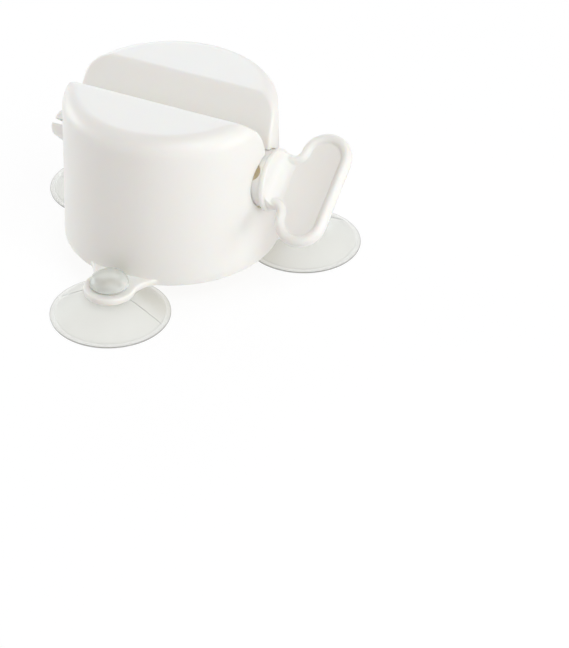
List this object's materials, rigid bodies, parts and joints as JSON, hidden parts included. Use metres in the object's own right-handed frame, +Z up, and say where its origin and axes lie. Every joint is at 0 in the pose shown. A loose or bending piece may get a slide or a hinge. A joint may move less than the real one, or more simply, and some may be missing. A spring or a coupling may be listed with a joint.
{
  "type": "toothpaste tube squeezer",
  "caption": "White plastic squeezer that winds up a toothpaste tube: drum with a funnel groove, slotted winding key with a T handle, and clear suction cups at its foot.",
  "frame": {"origin": "centre of the bounding box at its base, on the surface that the cups stand on", "axes": "+Z up, +X along the winding key towards its handle, +Y to the back, away from the ear that faces the user"},
  "size_m": [0.1178, 0.105, 0.0614],
  "materials": {
    "white_plastic": "moulded, satin",
    "clear_vinyl": "soft clear vinyl, glossy"
  },
  "bodies": {
    "housing": {"housing": "white_plastic"},
    "winding_key": {"winding_key": "white_plastic"},
    "suction_cup_front": {"suction_cup_front": "clear_vinyl"},
    "suction_cup_right": {"suction_cup_right": "clear_vinyl"},
    "suction_cup_left": {"suction_cup_left": "clear_vinyl"}
  },
  "joints": [
    {"name": "key_turn", "type": "hinge", "parent": "housing", "child": "winding_key", "pos_m": [-0.00131, 0.01095, 0.0367], "axis": [1, 0, 0], "continuous": true},
    {"name": "cup_swivel_front", "type": "hinge", "parent": "housing", "child": "suction_cup_front", "pos_m": [-0.00131, -0.03285, 0], "axis": [0, 0, 1], "continuous": true},
    {"name": "cup_swivel_right", "type": "hinge", "parent": "housing", "child": "suction_cup_right", "pos_m": [0.03662, 0.03285, 0], "axis": [0, 0, 1], "continuous": true},
    {"name": "cup_swivel_left", "type": "hinge", "parent": "housing", "child": "suction_cup_left", "pos_m": [-0.03925, 0.03285, 0], "axis": [0, 0, 1], "continuous": true}
  ]
}
